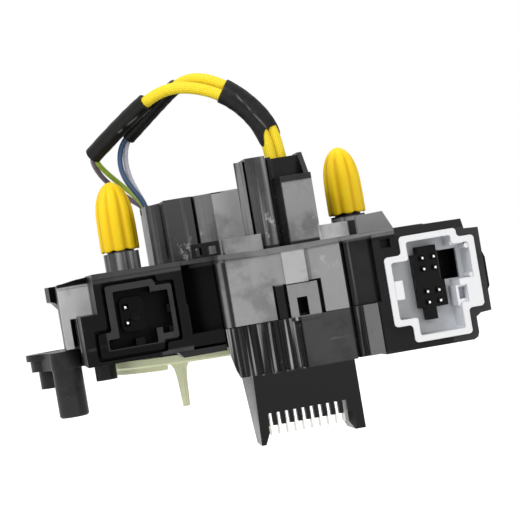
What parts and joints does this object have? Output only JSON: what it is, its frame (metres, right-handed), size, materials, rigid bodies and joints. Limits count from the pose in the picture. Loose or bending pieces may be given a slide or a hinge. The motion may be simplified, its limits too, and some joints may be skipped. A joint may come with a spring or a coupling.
{
  "type": "steering clock spring",
  "caption": "Steering clock spring: fixed case with three electrical sockets, and a turning hub with capped drive pins and a looped lead, joined inside by a spiral flat cable.",
  "frame": {"origin": "on the steering axis, at the underside of the drum wall", "axes": "+Z along the steering axis to the steering wheel, -Y to the side with the three sockets, +X to the socket with the white insert"},
  "size_m": [0.1164, 0.1002, 0.0905],
  "materials": {
    "black_case": "satin, moulded",
    "black_insert": "satin, moulded",
    "white_plastic": "matt, moulded",
    "yellow_rubber": "soft matt",
    "natural_nylon": "milky",
    "tinned_pin": "bright tinned",
    "board": "coated laminate",
    "chip": "moulded",
    "magnet": "plated",
    "slip_film": "low friction film",
    "ribbon": "laminated film over flat copper",
    "yellow_braid": "woven jacket",
    "black_tape": "wound tape",
    "black_sleeve": "extruded tube",
    "green_wire": "wire insulation",
    "violet_wire": "wire insulation",
    "blue_wire": "wire insulation",
    "white_wire": "wire insulation"
  },
  "bodies": {
    "case": {"upper_case": "black_case", "bottom_cover": "black_case", "comb_housing": "black_case", "comb_terminals": "tinned_pin", "switch_plug_shell": "black_insert", "switch_plug_pins": "tinned_pin", "sensor_plug_shell": "white_plastic", "sensor_plug_header": "black_insert", "sensor_plug_pins": "tinned_pin", "divider_plate": "black_insert", "sensor_board": "board", "angle_chips": "chip", "lower_slip_sheet": "slip_film", "upper_slip_sheet": "slip_film", "flat_cable": "ribbon", "outer_terminal_block": "black_insert"},
    "rotor": {"rotor_hub": "black_case", "pin_cap_left": "yellow_rubber", "pin_cap_right": "yellow_rubber", "cancel_ring": "natural_nylon", "drive_gear": "natural_nylon", "inner_terminal_block": "black_insert", "front_lead": "yellow_braid", "rear_lead": "yellow_braid", "lead_tape": "black_tape", "front_sleeve": "black_sleeve", "rear_sleeve": "black_sleeve", "green_wire": "green_wire", "violet_wire": "violet_wire", "blue_wire": "blue_wire", "white_wire": "white_wire"},
    "large_gear": {"large_magnet_gear": "natural_nylon", "large_magnet": "magnet"},
    "small_gear": {"small_magnet_gear": "natural_nylon", "small_magnet": "magnet"}
  },
  "joints": [
    {"name": "rotor_turn", "type": "hinge", "parent": "case", "child": "rotor", "pos_m": [0, 0, 0], "axis": [0, 0, 1], "range_deg": [-900, 900], "deforming": ["flat_cable"]},
    {"name": "large_gear_turn", "type": "hinge", "parent": "case", "child": "large_gear", "pos_m": [-0.01302, -0.02923, 0.0048], "axis": [0, 0, 1], "range_deg": [-2705, 2705]},
    {"name": "small_gear_turn", "type": "hinge", "parent": "case", "child": "small_gear", "pos_m": [0.00964, -0.02967, 0.0048], "axis": [0, 0, 1], "range_deg": [-3005, 3005]}
  ],
  "couplings": [
    {"joint": "large_gear_turn", "follows": "rotor_turn", "ratio": -3},
    {"joint": "small_gear_turn", "follows": "rotor_turn", "ratio": -3.3333}
  ]
}
